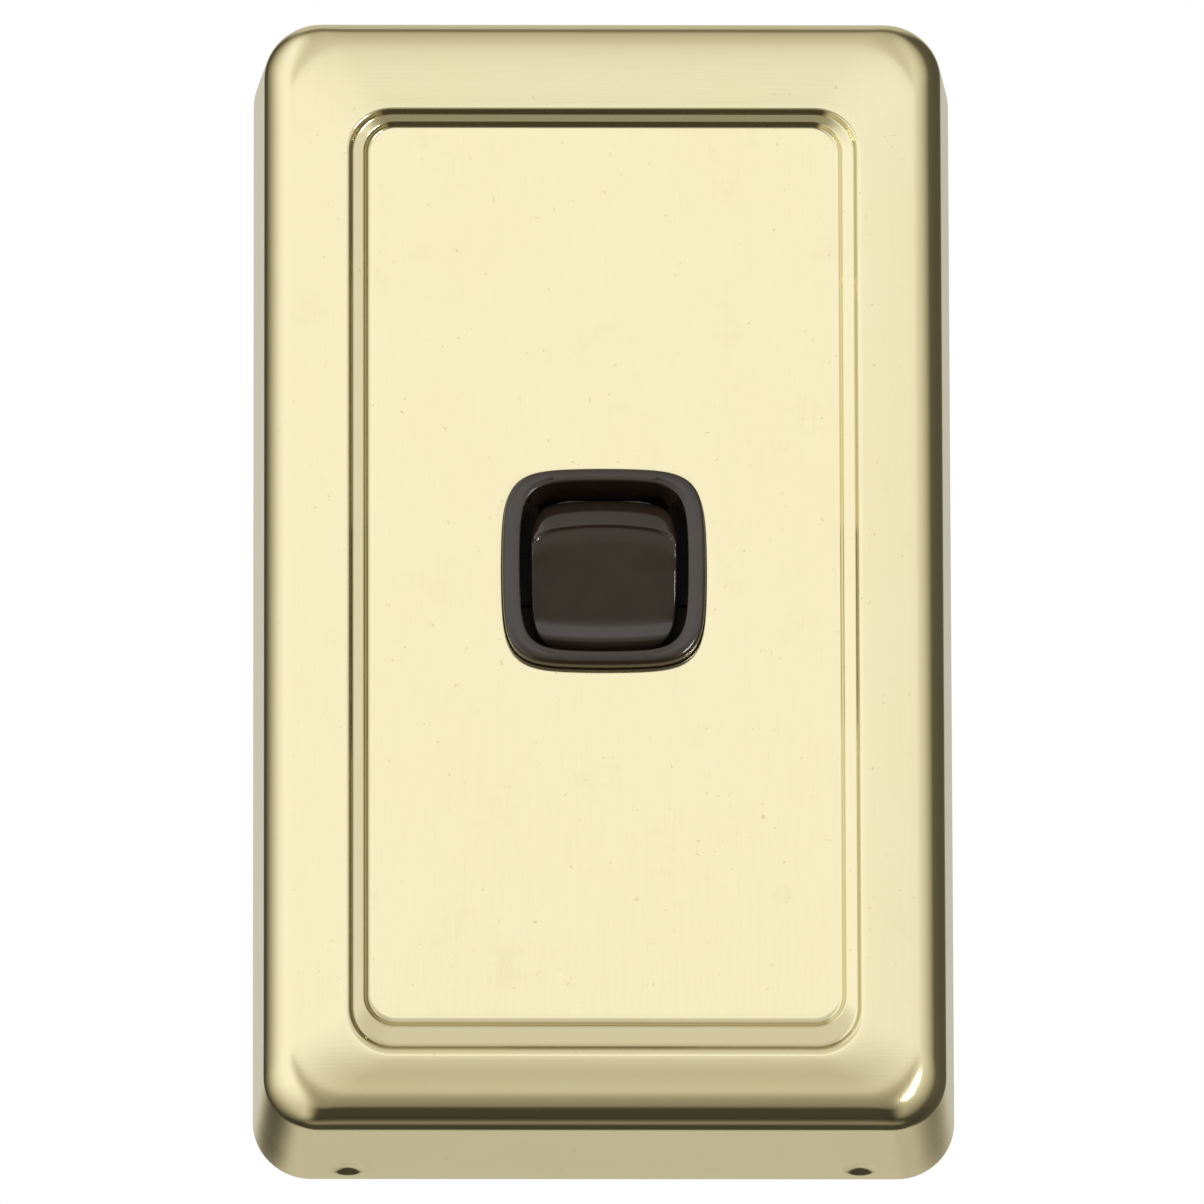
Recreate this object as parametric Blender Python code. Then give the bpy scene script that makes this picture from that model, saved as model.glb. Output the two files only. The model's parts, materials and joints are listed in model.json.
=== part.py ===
"""Single-gang rocker wall switch with a clip-on pressed brass cover.

Sizes are in millimetres and become metres when a mesh is finished.  +Z is up,
the switch faces -Y, and the wall plane is y = 0 with the origin at the middle
of the plate.  The rocker rests with its lower end pressed in.
"""
import math

import bmesh
import bpy
from mathutils import Matrix, Vector

MM = 0.001

# Pressed brass cover
COVER_WIDTH = 70.0
COVER_HEIGHT = 117.8
COVER_DEPTH = 16.5
COVER_CORNER = 5.8
SHEET = 0.9
SKIRT_FLARE = math.radians(4.5)
EDGE_ROLL = 3.4
RECESS_DEPTH = 1.5
RECESS_INSET = 9.2
RECESS_CORNER = 4.6
RECESS_CONVEX = 1.2
RECESS_CONCAVE = 0.9
RECESS_SLOPE = math.radians(60.0)
APERTURE_GAP = 0.3
DIMPLE_X = 25.5
DIMPLE_Y = -3.0
DIMPLE_RADIUS = 1.5
DIMPLE_RISE = 0.55

# Loop resolution: every loop has the same number of points
CORNER_STEPS = 5
SHORT_STEPS = 6
LONG_STEPS = 10
ARC_STEPS = 4
ROUND_STEPS = 24

# Moulded base plate
BASE_GAP = 0.4
BASE_WALL = 1.8
BASE_FRONT = -(COVER_DEPTH - RECESS_DEPTH - SHEET) + 0.3
BASE_FRONT_WALL = 2.0
BASE_BACK_OF_FRONT = BASE_FRONT + BASE_FRONT_WALL
BASE_CHAMFER = 0.8
FIXING_Z = 42.0
FIXING_BOSS_RADIUS = 5.5
FIXING_HOLE_RADIUS = 2.1
FIXING_BORE_RADIUS = 3.9
FIXING_SEAT_Y = -4.0
RIB_X = 21.0
RIB_Z = 24.0
RIB_THICK = 1.4
RIB_BACK_Y = -7.0

# Soft-square collar
COLLAR_HALF_X = 10.15
COLLAR_HALF_Z = 10.3
COLLAR_FRONT = -18.0
COLLAR_EDGE = 0.4
OPENING_HALF_X = 8.4
OPENING_HALF_Z = 8.95
SOFT_SQUARE = 3.8
FLANGE_HALF = 11.5
FLANGE_SQUARE = 12.0
FLANGE_FRONT = -11.5
FLANGE_BACK = -10.3

# Rocker and its pivot
REST_TILT = math.radians(7.0)
PIVOT_Y = -9.4
AXLE_RADIUS = 1.0
RUNNING_GAP = 0.05
AXLE_HALF = 9.2
EAR_INNER_X = 5.6
EAR_OUTER_X = 9.4
ROCKER_HALF_X = 7.3
ROCKER_BACK = -12.6
ROCKER_SIDE_POWER = 5.0
FACE_Y = -16.9
CREST_Y = -17.15
CREST_Z = 5.0
DISH_Z = 3.6
END_Y = -14.0
END_Z = 8.1
HUB_HALF_X = 5.2
HUB_HALF_Z = 2.3
POST_HALF = 2.7
POST_BACK = 0.0
POST_BORE = 1.7
POST_BORE_FRONT = -7.4
PLUNGER_RADIUS = 1.4
PLUNGER_FRONT = -2.5
PLUNGER_TIP = 6.9
SPRING_RADIUS = 1.2
SPRING_WIRE = 0.2
SPRING_TURNS = 6
SPRING_FRONT = -7.0

# Contact set
BRIDGE_RATIO = -0.75
BRIDGE_AXIS_Y = 8.8
BRIDGE_FRONT = 7.4
BRIDGE_BACK = 8.5
BRIDGE_HALF_X = 2.5
BRIDGE_HALF_Z = 8.2
TIP_Z = 6.6
TIP_RADIUS = 1.7
TIP_THICK = 0.8
FIT_GAP = 0.3
FIXED_TIP_Y = 10.65
STRIP_FRONT = 11.2
STRIP_BACK = 11.9

# Mechanism case
CASE_HALF_X = 12.0
CASE_HALF_Z = 15.0
CASE_WALL = 1.8
CASE_FRONT = -10.0
CASE_BACK = 9.2
CASE_MOUTH_X = 9.9
CASE_MOUTH_Z = 9.6
REAR_FRONT = 9.5
REAR_STEP = 12.3
REAR_BACK = 22.5
MECH_SCREW_X = 15.2
CLOSING_SCREW_Z = 17.6

# Terminals
TERMINAL_X = 6.6
TERMINAL_Z = 8.6
TERMINAL_HALF_X = 3.2
TERMINAL_HALF_Z = 3.9
TERMINAL_FRONT = 12.6
TERMINAL_BACK = 20.4
TERMINAL_CLEAR = 0.4
WIRE_BORE = 1.7
WIRE_BORE_FRONT = 14.2
TERMINAL_SCREW_Y = 17.4

MATERIALS = {
    "brass": ((0.86, 0.66, 0.28, 1.0), 0.12, 1.0),
    "dark_plastic": ((0.022, 0.016, 0.012, 1.0), 0.22, 0.0),
    "base_plastic": ((0.045, 0.035, 0.028, 1.0), 0.5, 0.0),
    "case_plastic": ((0.10, 0.09, 0.08, 1.0), 0.45, 0.0),
    "terminal_brass": ((0.70, 0.50, 0.22, 1.0), 0.35, 1.0),
    "steel": ((0.62, 0.62, 0.60, 1.0), 0.3, 1.0),
    "copper": ((0.75, 0.36, 0.22, 1.0), 0.35, 1.0),
    "silver": ((0.85, 0.84, 0.80, 1.0), 0.25, 1.0),
    "plunger_plastic": ((0.80, 0.78, 0.70, 1.0), 0.4, 0.0),
}


def clear_scene():
    for item in list(bpy.data.objects):
        bpy.data.objects.remove(item, do_unlink=True)


def make_material(name):
    colour, roughness, metallic = MATERIALS[name]
    material = bpy.data.materials.get(name)
    if material is None:
        material = bpy.data.materials.new(name)
        material.use_nodes = True
        shader = material.node_tree.nodes["Principled BSDF"]
        shader.inputs["Base Color"].default_value = colour
        shader.inputs["Roughness"].default_value = roughness
        shader.inputs["Metallic"].default_value = metallic
    return material


def finish(name, bm, material=None, parent=None):
    """Turn a mesh in millimetres into an object in metres, with its faces outwards."""
    bmesh.ops.recalc_face_normals(bm, faces=bm.faces)
    bmesh.ops.transform(bm, matrix=Matrix.Scale(MM, 4), verts=bm.verts)
    mesh = bpy.data.meshes.new(name)
    bm.to_mesh(mesh)
    bm.free()
    item = bpy.data.objects.new(name, mesh)
    bpy.context.collection.objects.link(item)
    if material is None:
        item.hide_render = True
        item.display_type = "WIRE"
    else:
        mesh.materials.append(make_material(material))
        mesh.shade_smooth()
        mesh.set_sharp_from_angle(angle=math.radians(35.0))
    if parent is not None:
        item.parent = parent
    return item


def boolean(item, tool, operation):
    modifier = item.modifiers.new(tool.name, "BOOLEAN")
    modifier.operation = operation
    modifier.object = tool
    modifier.solver = "EXACT"


def add(item, tool):
    boolean(item, tool, "UNION")


def cut(item, tool):
    boolean(item, tool, "DIFFERENCE")


def box(bm, low, high):
    """A box between two opposite corners."""
    middle = (Vector(low) + Vector(high)) / 2
    size = Vector(high) - Vector(low)
    matrix = Matrix.Translation(middle) @ Matrix.Diagonal(size.to_4d())
    bmesh.ops.create_cube(bm, size=1.0, matrix=matrix)


def rod(bm, start, end, radius, end_radius=None, steps=ROUND_STEPS):
    """A round bar, or a cone, between two points."""
    start, end = Vector(start), Vector(end)
    turn = (end - start).to_track_quat("Z", "Y").to_matrix().to_4x4()
    bmesh.ops.create_cone(
        bm, cap_ends=True, segments=steps, radius1=radius,
        radius2=radius if end_radius is None else end_radius,
        depth=(end - start).length, matrix=Matrix.Translation((start + end) / 2) @ turn)


def box_tool(name, low, high, parent=None):
    bm = bmesh.new()
    box(bm, low, high)
    return finish(name, bm, parent=parent)


def rod_tool(name, start, end, radius, parent=None):
    bm = bmesh.new()
    rod(bm, start, end, radius)
    return finish(name, bm, parent=parent)


def skin(bm, loops, closed):
    """Join loops of points into a surface: a closed tube of loops, or a stack with end caps."""
    rings = [[bm.verts.new(point) for point in loop] for loop in loops]
    pairs = list(zip(rings, rings[1:]))
    if closed:
        pairs.append((rings[-1], rings[0]))
    else:
        bm.faces.new(rings[0])
        bm.faces.new(rings[-1])
    for ring, after in pairs:
        count = len(ring)
        for i in range(count):
            j = (i + 1) % count
            bm.faces.new((ring[i], ring[j], after[j], after[i]))


def rounded_loop(half_x, half_z, radius, y):
    """Points round a rectangle with rounded corners, with extra points along its sides."""
    arcs = []
    for turn, (side_x, side_z) in enumerate(((1, 1), (-1, 1), (-1, -1), (1, -1))):
        arc = []
        for step in range(CORNER_STEPS + 1):
            angle = math.radians(90.0) * (turn + step / CORNER_STEPS)
            arc.append(Vector((side_x * (half_x - radius) + radius * math.cos(angle), y,
                               side_z * (half_z - radius) + radius * math.sin(angle))))
        arcs.append(arc)
    points = []
    for turn, arc in enumerate(arcs):
        following = arcs[(turn + 1) % 4][0]
        steps = SHORT_STEPS if turn % 2 == 0 else LONG_STEPS
        points += arc
        points += [arc[-1].lerp(following, step / steps) for step in range(1, steps)]
    return points


def soft_square_loop(half_x, half_z, y, angles, power=SOFT_SQUARE):
    """Points round a square with bowed sides and soft corners."""
    points = []
    for angle in angles:
        across, up = math.cos(angle), math.sin(angle)
        reach = (abs(across / half_x) ** power + abs(up / half_z) ** power) ** (-1 / power)
        points.append(Vector((reach * across, y, reach * up)))
    return points


def even_angles(count):
    return [2 * math.pi * step / count for step in range(count)]


def cover_profile(offset):
    """Rows of (inset, y, corner radius) from the rim to the panel, on a skin set in by offset."""
    rows = [(offset / math.cos(SKIRT_FLARE), 0.0)]
    roll_y = -(COVER_DEPTH - EDGE_ROLL)
    flare_end = (EDGE_ROLL * math.sin(SKIRT_FLARE) - roll_y) * math.tan(SKIRT_FLARE)
    roll_inset = flare_end + EDGE_ROLL * math.cos(SKIRT_FLARE)
    roll = EDGE_ROLL - offset
    for step in range(ARC_STEPS + 2):
        angle = (math.radians(90.0) - SKIRT_FLARE) * (1 - step / (ARC_STEPS + 1))
        rows.append((roll_inset - roll * math.sin(angle), roll_y - roll * math.cos(angle)))
    corner_rows = [(inset, y, COVER_CORNER - inset) for inset, y in rows]

    convex, concave = RECESS_CONVEX - offset, RECESS_CONCAVE + offset
    straight = RECESS_DEPTH - (RECESS_CONVEX + RECESS_CONCAVE) * (1 - math.cos(RECESS_SLOPE))
    run = ((RECESS_CONVEX + RECESS_CONCAVE) * math.sin(RECESS_SLOPE)
           + straight / math.tan(RECESS_SLOPE))
    step_rows = []
    for step in range(ARC_STEPS):
        angle = RECESS_SLOPE * step / (ARC_STEPS - 1)
        step_rows.append((RECESS_INSET + convex * math.sin(angle),
                          -(COVER_DEPTH - RECESS_CONVEX) - convex * math.cos(angle)))
    for step in range(ARC_STEPS):
        angle = RECESS_SLOPE * (1 - step / (ARC_STEPS - 1))
        step_rows.append((RECESS_INSET + run - concave * math.sin(angle),
                          -(COVER_DEPTH - RECESS_DEPTH + RECESS_CONCAVE)
                          + concave * math.cos(angle)))
    corner_rows += [(inset, y, RECESS_CORNER - (inset - RECESS_INSET))
                    for inset, y in step_rows]
    return corner_rows


def make_brass_cover():
    """Pressed cover: outer skin, aperture edge and inner skin as one closed sheet."""
    half_x, half_z = COVER_WIDTH / 2, COVER_HEIGHT / 2
    skins = []
    for offset in (0.0, SHEET):
        loops = [rounded_loop(half_x - inset, half_z - inset, radius, y)
                 for inset, y, radius in cover_profile(offset)]
        panel = loops[-1]
        angles = [math.atan2(point.z, point.x) for point in panel]
        loops.append(soft_square_loop(COLLAR_HALF_X + APERTURE_GAP, COLLAR_HALF_Z + APERTURE_GAP,
                                      panel[0].y, angles))
        skins.append(loops)
    bm = bmesh.new()
    skin(bm, skins[0] + skins[1][::-1], closed=True)
    cover = finish("brass_cover", bm, "brass")

    wall = half_z + DIMPLE_Y * math.tan(SKIRT_FLARE)
    for up in (1, -1):
        for side in (1, -1):
            add(cover, make_dimple(f"dimple_{up}_{side}", side * DIMPLE_X, up, wall - SHEET))
            cut(cover, make_dimple(f"dent_{up}_{side}", side * DIMPLE_X, up, wall))
    return cover


def make_dimple(name, x, up, wall):
    """A low round snap bump that stands DIMPLE_RISE in from a skirt wall."""
    bm = bmesh.new()
    bmesh.ops.create_icosphere(bm, subdivisions=2, radius=1.0)
    scale = Matrix.Diagonal((DIMPLE_RADIUS, DIMPLE_RADIUS, DIMPLE_RISE, 1.0))
    bmesh.ops.transform(bm, matrix=Matrix.Translation((x, DIMPLE_Y, up * wall)) @ scale,
                        verts=bm.verts)
    return finish(name, bm)


def base_inset(y):
    """How far the base plate's outer wall is set in from the cover's rim at depth y."""
    return SHEET + BASE_GAP - y * math.tan(SKIRT_FLARE)


def make_base_plate():
    """Deep tray that the fixing screws clamp to the wall and the cover snaps over."""
    half_x, half_z = COVER_WIDTH / 2, COVER_HEIGHT / 2

    def wall_loop(y, extra):
        inset = base_inset(y) + extra
        return rounded_loop(half_x - inset, half_z - inset, COVER_CORNER - inset, y)

    bm = bmesh.new()
    skin(bm, [wall_loop(BASE_BACK_OF_FRONT, BASE_WALL), wall_loop(0.0, BASE_WALL),
              wall_loop(0.0, 0.0), wall_loop(BASE_FRONT + BASE_CHAMFER, 0.0),
              wall_loop(BASE_FRONT, BASE_CHAMFER)], closed=False)
    base = finish("base_plate", bm, "base_plastic")

    inside_x = half_x - base_inset(0.0) - BASE_WALL / 2
    inside_z = half_z - base_inset(0.0) - BASE_WALL / 2
    into_front = BASE_BACK_OF_FRONT - BASE_FRONT_WALL / 2
    for side in (1, -1):
        add(base, box_tool(f"rib_upright_{side}", (side * RIB_X - RIB_THICK / 2, into_front, -inside_z),
                           (side * RIB_X + RIB_THICK / 2, RIB_BACK_Y, inside_z)))
        add(base, box_tool(f"rib_level_{side}", (-inside_x, into_front, side * RIB_Z - RIB_THICK / 2),
                           (inside_x, RIB_BACK_Y, side * RIB_Z + RIB_THICK / 2)))
        add(base, rod_tool(f"mech_boss_{side}", (side * MECH_SCREW_X, into_front, 0),
                           (side * MECH_SCREW_X, -8.3, 0), 3.2))
        cut(base, rod_tool(f"mech_pilot_{side}", (side * MECH_SCREW_X, -11.4, 0),
                           (side * MECH_SCREW_X, -8.0, 0), 1.3))
        add(base, rod_tool(f"fixing_boss_{side}", (0, into_front, side * FIXING_Z),
                           (0, 0, side * FIXING_Z), FIXING_BOSS_RADIUS))
        cut(base, rod_tool(f"fixing_hole_{side}", (0, BASE_FRONT - 1, side * FIXING_Z),
                           (0, 1, side * FIXING_Z), FIXING_HOLE_RADIUS))
        cut(base, rod_tool(f"fixing_bore_{side}", (0, BASE_FRONT - 1, side * FIXING_Z),
                           (0, FIXING_SEAT_Y, side * FIXING_Z), FIXING_BORE_RADIUS))
        for across in (1, -1):
            outer = half_z - base_inset(0.0)
            groove = sorted((side * (outer + 1.0), side * (outer - base_groove_depth())))
            cut(base, box_tool(f"snap_channel_{side}_{across}",
                               (across * DIMPLE_X - 2.2, BASE_FRONT - 1, groove[0]),
                               (across * DIMPLE_X + 2.2, DIMPLE_Y + 2.0, groove[1])))

    bm = bmesh.new()
    angles = even_angles(40)
    half = (COLLAR_HALF_X + APERTURE_GAP, COLLAR_HALF_Z + APERTURE_GAP)
    skin(bm, [soft_square_loop(*half, BASE_FRONT - 1, angles),
              soft_square_loop(*half, BASE_BACK_OF_FRONT + 1, angles)], closed=False)
    cut(base, finish("mech_aperture", bm))
    return base


def base_groove_depth():
    """Depth of a snap channel, measured from the wall at its back edge."""
    return -BASE_FRONT * math.tan(SKIRT_FLARE) / 2 + 0.6


def make_bezel_collar():
    """Soft-square collar with a flange behind the base plate and two ears for the axle."""
    angles = even_angles(48)
    inner_x, inner_z = OPENING_HALF_X, OPENING_HALF_Z

    def outer(y, inset=0.0):
        return soft_square_loop(COLLAR_HALF_X - inset, COLLAR_HALF_Z - inset, y, angles)

    def flange(y):
        return soft_square_loop(FLANGE_HALF, FLANGE_HALF, y, angles, FLANGE_SQUARE)

    bm = bmesh.new()
    skin(bm, [outer(FLANGE_FRONT), outer(COLLAR_FRONT + COLLAR_EDGE),
              outer(COLLAR_FRONT, COLLAR_EDGE),
              soft_square_loop(inner_x + COLLAR_EDGE, inner_z + COLLAR_EDGE, COLLAR_FRONT, angles),
              soft_square_loop(inner_x, inner_z, COLLAR_FRONT + COLLAR_EDGE, angles),
              soft_square_loop(inner_x, inner_z, FLANGE_BACK, angles),
              flange(FLANGE_BACK), flange(FLANGE_FRONT)], closed=True)
    collar = finish("bezel_collar", bm, "dark_plastic")
    for side in (1, -1):
        ends = sorted((side * EAR_INNER_X, side * EAR_OUTER_X))
        add(collar, box_tool(f"axle_ear_{side}", (ends[0], PIVOT_Y - 1.8, -2.6),
                             (ends[1], PIVOT_Y + 1.8, 2.6)))
    cut(collar, rod_tool("ear_bore", (-FLANGE_HALF - 1, PIVOT_Y, 0), (FLANGE_HALF + 1, PIVOT_Y, 0),
                         AXLE_RADIUS + RUNNING_GAP))
    return collar


def rocker_side_outline():
    """(y, z) points of the rocker's side view: dished face, crests and rounded ends."""
    half = [(FACE_Y, 0.0), (FACE_Y, DISH_Z), (CREST_Y, CREST_Z)]
    for step in range(1, ARC_STEPS + 1):
        angle = math.radians(90.0) * step / ARC_STEPS
        half.append((END_Y + (CREST_Y - END_Y) * math.cos(angle),
                     CREST_Z + (END_Z - CREST_Z) * math.sin(angle)))
    half.append((ROCKER_BACK, END_Z))
    return [(y, -z) for y, z in half[:0:-1]] + half


def make_rocker(pivot):
    """Rocker button with its hub and the hollow post that carries the plunger."""
    bm = bmesh.new()
    outline = rocker_side_outline()
    half = ROCKER_HALF_X + 1
    skin(bm, [[(x, y, z) for y, z in outline] for x in (-half, half)], closed=False)
    rocker = finish("rocker", bm, "dark_plastic", pivot)

    bm = bmesh.new()
    angles = even_angles(40)
    skin(bm, [soft_square_loop(ROCKER_HALF_X, END_Z, y, angles, ROCKER_SIDE_POWER)
              for y in (CREST_Y - 1, ROCKER_BACK + 1)], closed=False)
    boolean(rocker, finish("rocker_plan", bm, parent=pivot), "INTERSECT")

    add(rocker, box_tool("rocker_hub", (-HUB_HALF_X, ROCKER_BACK - 1, -HUB_HALF_Z),
                         (HUB_HALF_X, PIVOT_Y + 1.9, HUB_HALF_Z), pivot))
    add(rocker, box_tool("rocker_post", (-POST_HALF, PIVOT_Y, -POST_HALF),
                         (POST_HALF, POST_BACK, POST_HALF), pivot))
    cut(rocker, rod_tool("post_bore", (0, POST_BORE_FRONT, 0), (0, POST_BACK + 1, 0),
                         POST_BORE, pivot))
    cut(rocker, rod_tool("axle_bore", (-HUB_HALF_X - 1, PIVOT_Y, 0), (HUB_HALF_X + 1, PIVOT_Y, 0),
                         AXLE_RADIUS + RUNNING_GAP, pivot))
    return rocker


def make_rocker_axle():
    bm = bmesh.new()
    rod(bm, (-AXLE_HALF, PIVOT_Y, 0), (AXLE_HALF, PIVOT_Y, 0), AXLE_RADIUS)
    return finish("rocker_axle", bm, "steel")


def round_loop(radius, y, steps=ROUND_STEPS):
    return [(radius * math.cos(angle), y, radius * math.sin(angle))
            for angle in even_angles(steps)]


def make_spring_plunger(pivot):
    """Round-nosed plunger that slides in the rocker's post."""
    loops = [round_loop(PLUNGER_RADIUS, PLUNGER_FRONT)]
    for step in range(ARC_STEPS):
        angle = math.radians(80.0) * step / (ARC_STEPS - 1)
        loops.append(round_loop(PLUNGER_RADIUS * math.cos(angle),
                                PLUNGER_TIP - PLUNGER_RADIUS * (1 - math.sin(angle))))
    bm = bmesh.new()
    skin(bm, loops, closed=False)
    return finish("spring_plunger", bm, "plunger_plastic", pivot)


def make_toggle_spring(pivot):
    """Wire coil behind the plunger, swept as rings along a helix."""
    steps_a_turn, sides = 14, 6
    length = PLUNGER_FRONT - FIT_GAP - SPRING_WIRE - SPRING_FRONT
    rings = []
    for step in range(SPRING_TURNS * steps_a_turn + 1):
        angle = 2 * math.pi * step / steps_a_turn
        y = SPRING_FRONT + length * step / (SPRING_TURNS * steps_a_turn)
        out = Vector((math.cos(angle), 0, math.sin(angle)))
        along = Vector((0, 1, 0))
        rings.append([out * (SPRING_RADIUS + SPRING_WIRE * math.cos(turn))
                      + along * (y + SPRING_WIRE * math.sin(turn))
                      for turn in even_angles(sides)])
    bm = bmesh.new()
    skin(bm, rings, closed=False)
    return finish("toggle_spring", bm, "steel", pivot)


def make_contact_bridge(rocking):
    """Rocking bar with a shallow seat for the plunger's nose."""
    bm = bmesh.new()
    box(bm, (-BRIDGE_HALF_X, BRIDGE_FRONT, -BRIDGE_HALF_Z),
        (BRIDGE_HALF_X, BRIDGE_BACK, BRIDGE_HALF_Z))
    bridge = finish("contact_bridge", bm, "copper", rocking)
    cut(bridge, box_tool("plunger_seat", (-1.6, BRIDGE_FRONT - 1, -3.4),
                         (1.6, BRIDGE_FRONT + 0.4, 3.4), rocking))
    return bridge


def make_moving_contact(name, z, rocking):
    bm = bmesh.new()
    start = BRIDGE_BACK + FIT_GAP
    rod(bm, (0, start, z), (0, start + TIP_THICK, z), TIP_RADIUS, TIP_RADIUS * 0.8)
    return finish(name, bm, "silver", rocking)


def make_fixed_contact(name, up):
    """Silvered button on a strip that leads to its terminal."""
    bm = bmesh.new()
    low, high = sorted((up * (TIP_Z - 2.2), up * (TIP_Z + 2.2)))
    box(bm, (-2.2, STRIP_FRONT, low), (TERMINAL_X + 2.6, STRIP_BACK, high))
    contact = finish(name, bm, "terminal_brass")
    add(contact, rod_tool(f"{name}_button", (0, FIXED_TIP_Y, up * TIP_Z),
                          (0, STRIP_FRONT + 0.3, up * TIP_Z), TIP_RADIUS))
    return contact


def make_common_saddle():
    """Knife-edged saddle that the bridge rocks on, with its strip to the common terminal."""
    bm = bmesh.new()
    box(bm, (-9.2, STRIP_FRONT, -2.4), (3.0, STRIP_BACK, 2.4))
    saddle = finish("common_saddle", bm, "terminal_brass")
    add(saddle, box_tool("saddle_strip", (-9.2, STRIP_FRONT, -1.0), (-4.4, STRIP_BACK, 10.8)))
    bm = bmesh.new()
    edge = [(STRIP_FRONT + 0.3, -1.4), (STRIP_FRONT + 0.3, 1.4),
            (BRIDGE_AXIS_Y + 0.15, 0.15), (BRIDGE_AXIS_Y + 0.15, -0.15)]
    skin(bm, [[(x, y, z) for y, z in edge] for x in (-2.2, 2.2)], closed=False)
    add(saddle, finish("saddle_edge", bm))
    return saddle


def make_mechanism_case():
    """Moulded case, open at the back, with lugs for its two pairs of screws."""
    bm = bmesh.new()
    box(bm, (-CASE_HALF_X, CASE_FRONT, -CASE_HALF_Z), (CASE_HALF_X, CASE_BACK, CASE_HALF_Z))
    case = finish("mechanism_case", bm, "case_plastic")
    add(case, box_tool("case_side_lugs", (-18.4, -8.0, -3.4), (18.4, -6.0, 3.4)))
    add(case, box_tool("case_end_lugs", (-3.4, 5.2, -20.4), (3.4, CASE_BACK, 20.4)))
    cut(case, box_tool("case_cavity",
                       (-CASE_HALF_X + CASE_WALL, CASE_FRONT + CASE_WALL, -CASE_HALF_Z + CASE_WALL),
                       (CASE_HALF_X - CASE_WALL, CASE_BACK + 1, CASE_HALF_Z - CASE_WALL)))
    cut(case, box_tool("case_mouth", (-CASE_MOUTH_X, CASE_FRONT - 1, -CASE_MOUTH_Z),
                       (CASE_MOUTH_X, CASE_FRONT + CASE_WALL + 1, CASE_MOUTH_Z)))
    for side in (1, -1):
        cut(case, rod_tool(f"case_side_hole_{side}", (side * MECH_SCREW_X, -9, 0),
                           (side * MECH_SCREW_X, -5, 0), 1.5))
        cut(case, rod_tool(f"case_end_hole_{side}", (0, 4, side * CLOSING_SCREW_Z),
                           (0, CASE_BACK + 1, side * CLOSING_SCREW_Z), 1.4))
    return case


def terminal_places():
    """Name, x side and z side of each terminal."""
    return (("common", -1, 1), ("one", 1, 1), ("two", 1, -1), ("loop", -1, -1))


def make_rear_cover():
    """Moulded rear cover with a pocket, a wire entry and a screw access for each terminal."""
    bm = bmesh.new()
    box(bm, (-CASE_HALF_X, REAR_FRONT, -CASE_HALF_Z), (CASE_HALF_X, REAR_BACK, CASE_HALF_Z))
    cover = finish("mechanism_rear_cover", bm, "case_plastic")
    add(cover, box_tool("rear_end_lugs", (-3.4, REAR_FRONT, -20.4), (3.4, 12.5, 20.4)))
    cut(cover, box_tool("rear_cavity",
                        (-CASE_HALF_X + CASE_WALL, REAR_FRONT - 1, -CASE_HALF_Z + CASE_WALL),
                        (CASE_HALF_X - CASE_WALL, REAR_STEP, CASE_HALF_Z - CASE_WALL)))
    for name, side, up in terminal_places():
        x, z = side * TERMINAL_X, up * TERMINAL_Z
        reach_x, reach_z = TERMINAL_HALF_X + TERMINAL_CLEAR, TERMINAL_HALF_Z + TERMINAL_CLEAR
        cut(cover, box_tool(f"pocket_{name}", (x - reach_x, REAR_STEP - 1, z - reach_z),
                            (x + reach_x, TERMINAL_BACK + TERMINAL_CLEAR, z + reach_z)))
        cut(cover, rod_tool(f"wire_entry_{name}", (x, TERMINAL_BACK, z), (x, REAR_BACK + 1, z), 2.3))
        cut(cover, rod_tool(f"screw_access_{name}", (side * 9.0, TERMINAL_SCREW_Y, z),
                            (side * (CASE_HALF_X + 1), TERMINAL_SCREW_Y, z), 2.6))
    for side in (1, -1):
        cut(cover, rod_tool(f"rear_end_hole_{side}", (0, REAR_FRONT - 1, side * CLOSING_SCREW_Z),
                            (0, 13.5, side * CLOSING_SCREW_Z), 1.4))
    return cover


def make_terminal(name, side, up):
    """Brass block with a wire bore from the back and a screw hole from its outer side."""
    x, z = side * TERMINAL_X, up * TERMINAL_Z
    bm = bmesh.new()
    box(bm, (x - TERMINAL_HALF_X, TERMINAL_FRONT, z - TERMINAL_HALF_Z),
        (x + TERMINAL_HALF_X, TERMINAL_BACK, z + TERMINAL_HALF_Z))
    block = finish(f"terminal_{name}", bm, "terminal_brass")
    cut(block, rod_tool(f"wire_bore_{name}", (x, WIRE_BORE_FRONT, z), (x, TERMINAL_BACK + 1, z),
                        WIRE_BORE))
    cut(block, rod_tool(f"screw_hole_{name}", (x, TERMINAL_SCREW_Y, z),
                        (side * (TERMINAL_X + TERMINAL_HALF_X + 1), TERMINAL_SCREW_Y, z), 1.4))
    return block


def make_screw(name, seat, way, shank, length, head, head_thick, steps=16):
    """Slotted screw: seat is the middle of the head's underside and way is where the head points."""
    seat, way = Vector(seat), Vector(way)
    bm = bmesh.new()
    rod(bm, seat - way * length, seat + way * 0.1, shank, steps=steps)
    screw = finish(name, bm, "steel")
    bm = bmesh.new()
    rod(bm, seat, seat + way * head_thick, head, head * 0.88, steps=steps)
    add(screw, finish(f"{name}_head", bm))
    across = Vector((0, 0, 1))
    side = way.cross(across)
    reach = across * head * 1.5 + side * head * 0.14
    low = seat + way * head_thick * 0.55 - reach
    high = seat + way * (head_thick + 1) + reach
    corners = [sorted(pair) for pair in zip(low, high)]
    cut(screw, box_tool(f"{name}_slot", [pair[0] for pair in corners],
                        [pair[1] for pair in corners]))
    return screw


def make_pivot(name, y, angle):
    """An empty on a joint's axis, turned to the rest position."""
    pivot = bpy.data.objects.new(name, None)
    bpy.context.collection.objects.link(pivot)
    place = Matrix.Translation((0, y * MM, 0))
    pivot.matrix_world = place @ Matrix.Rotation(angle, 4, "X") @ place.inverted()
    return pivot


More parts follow.
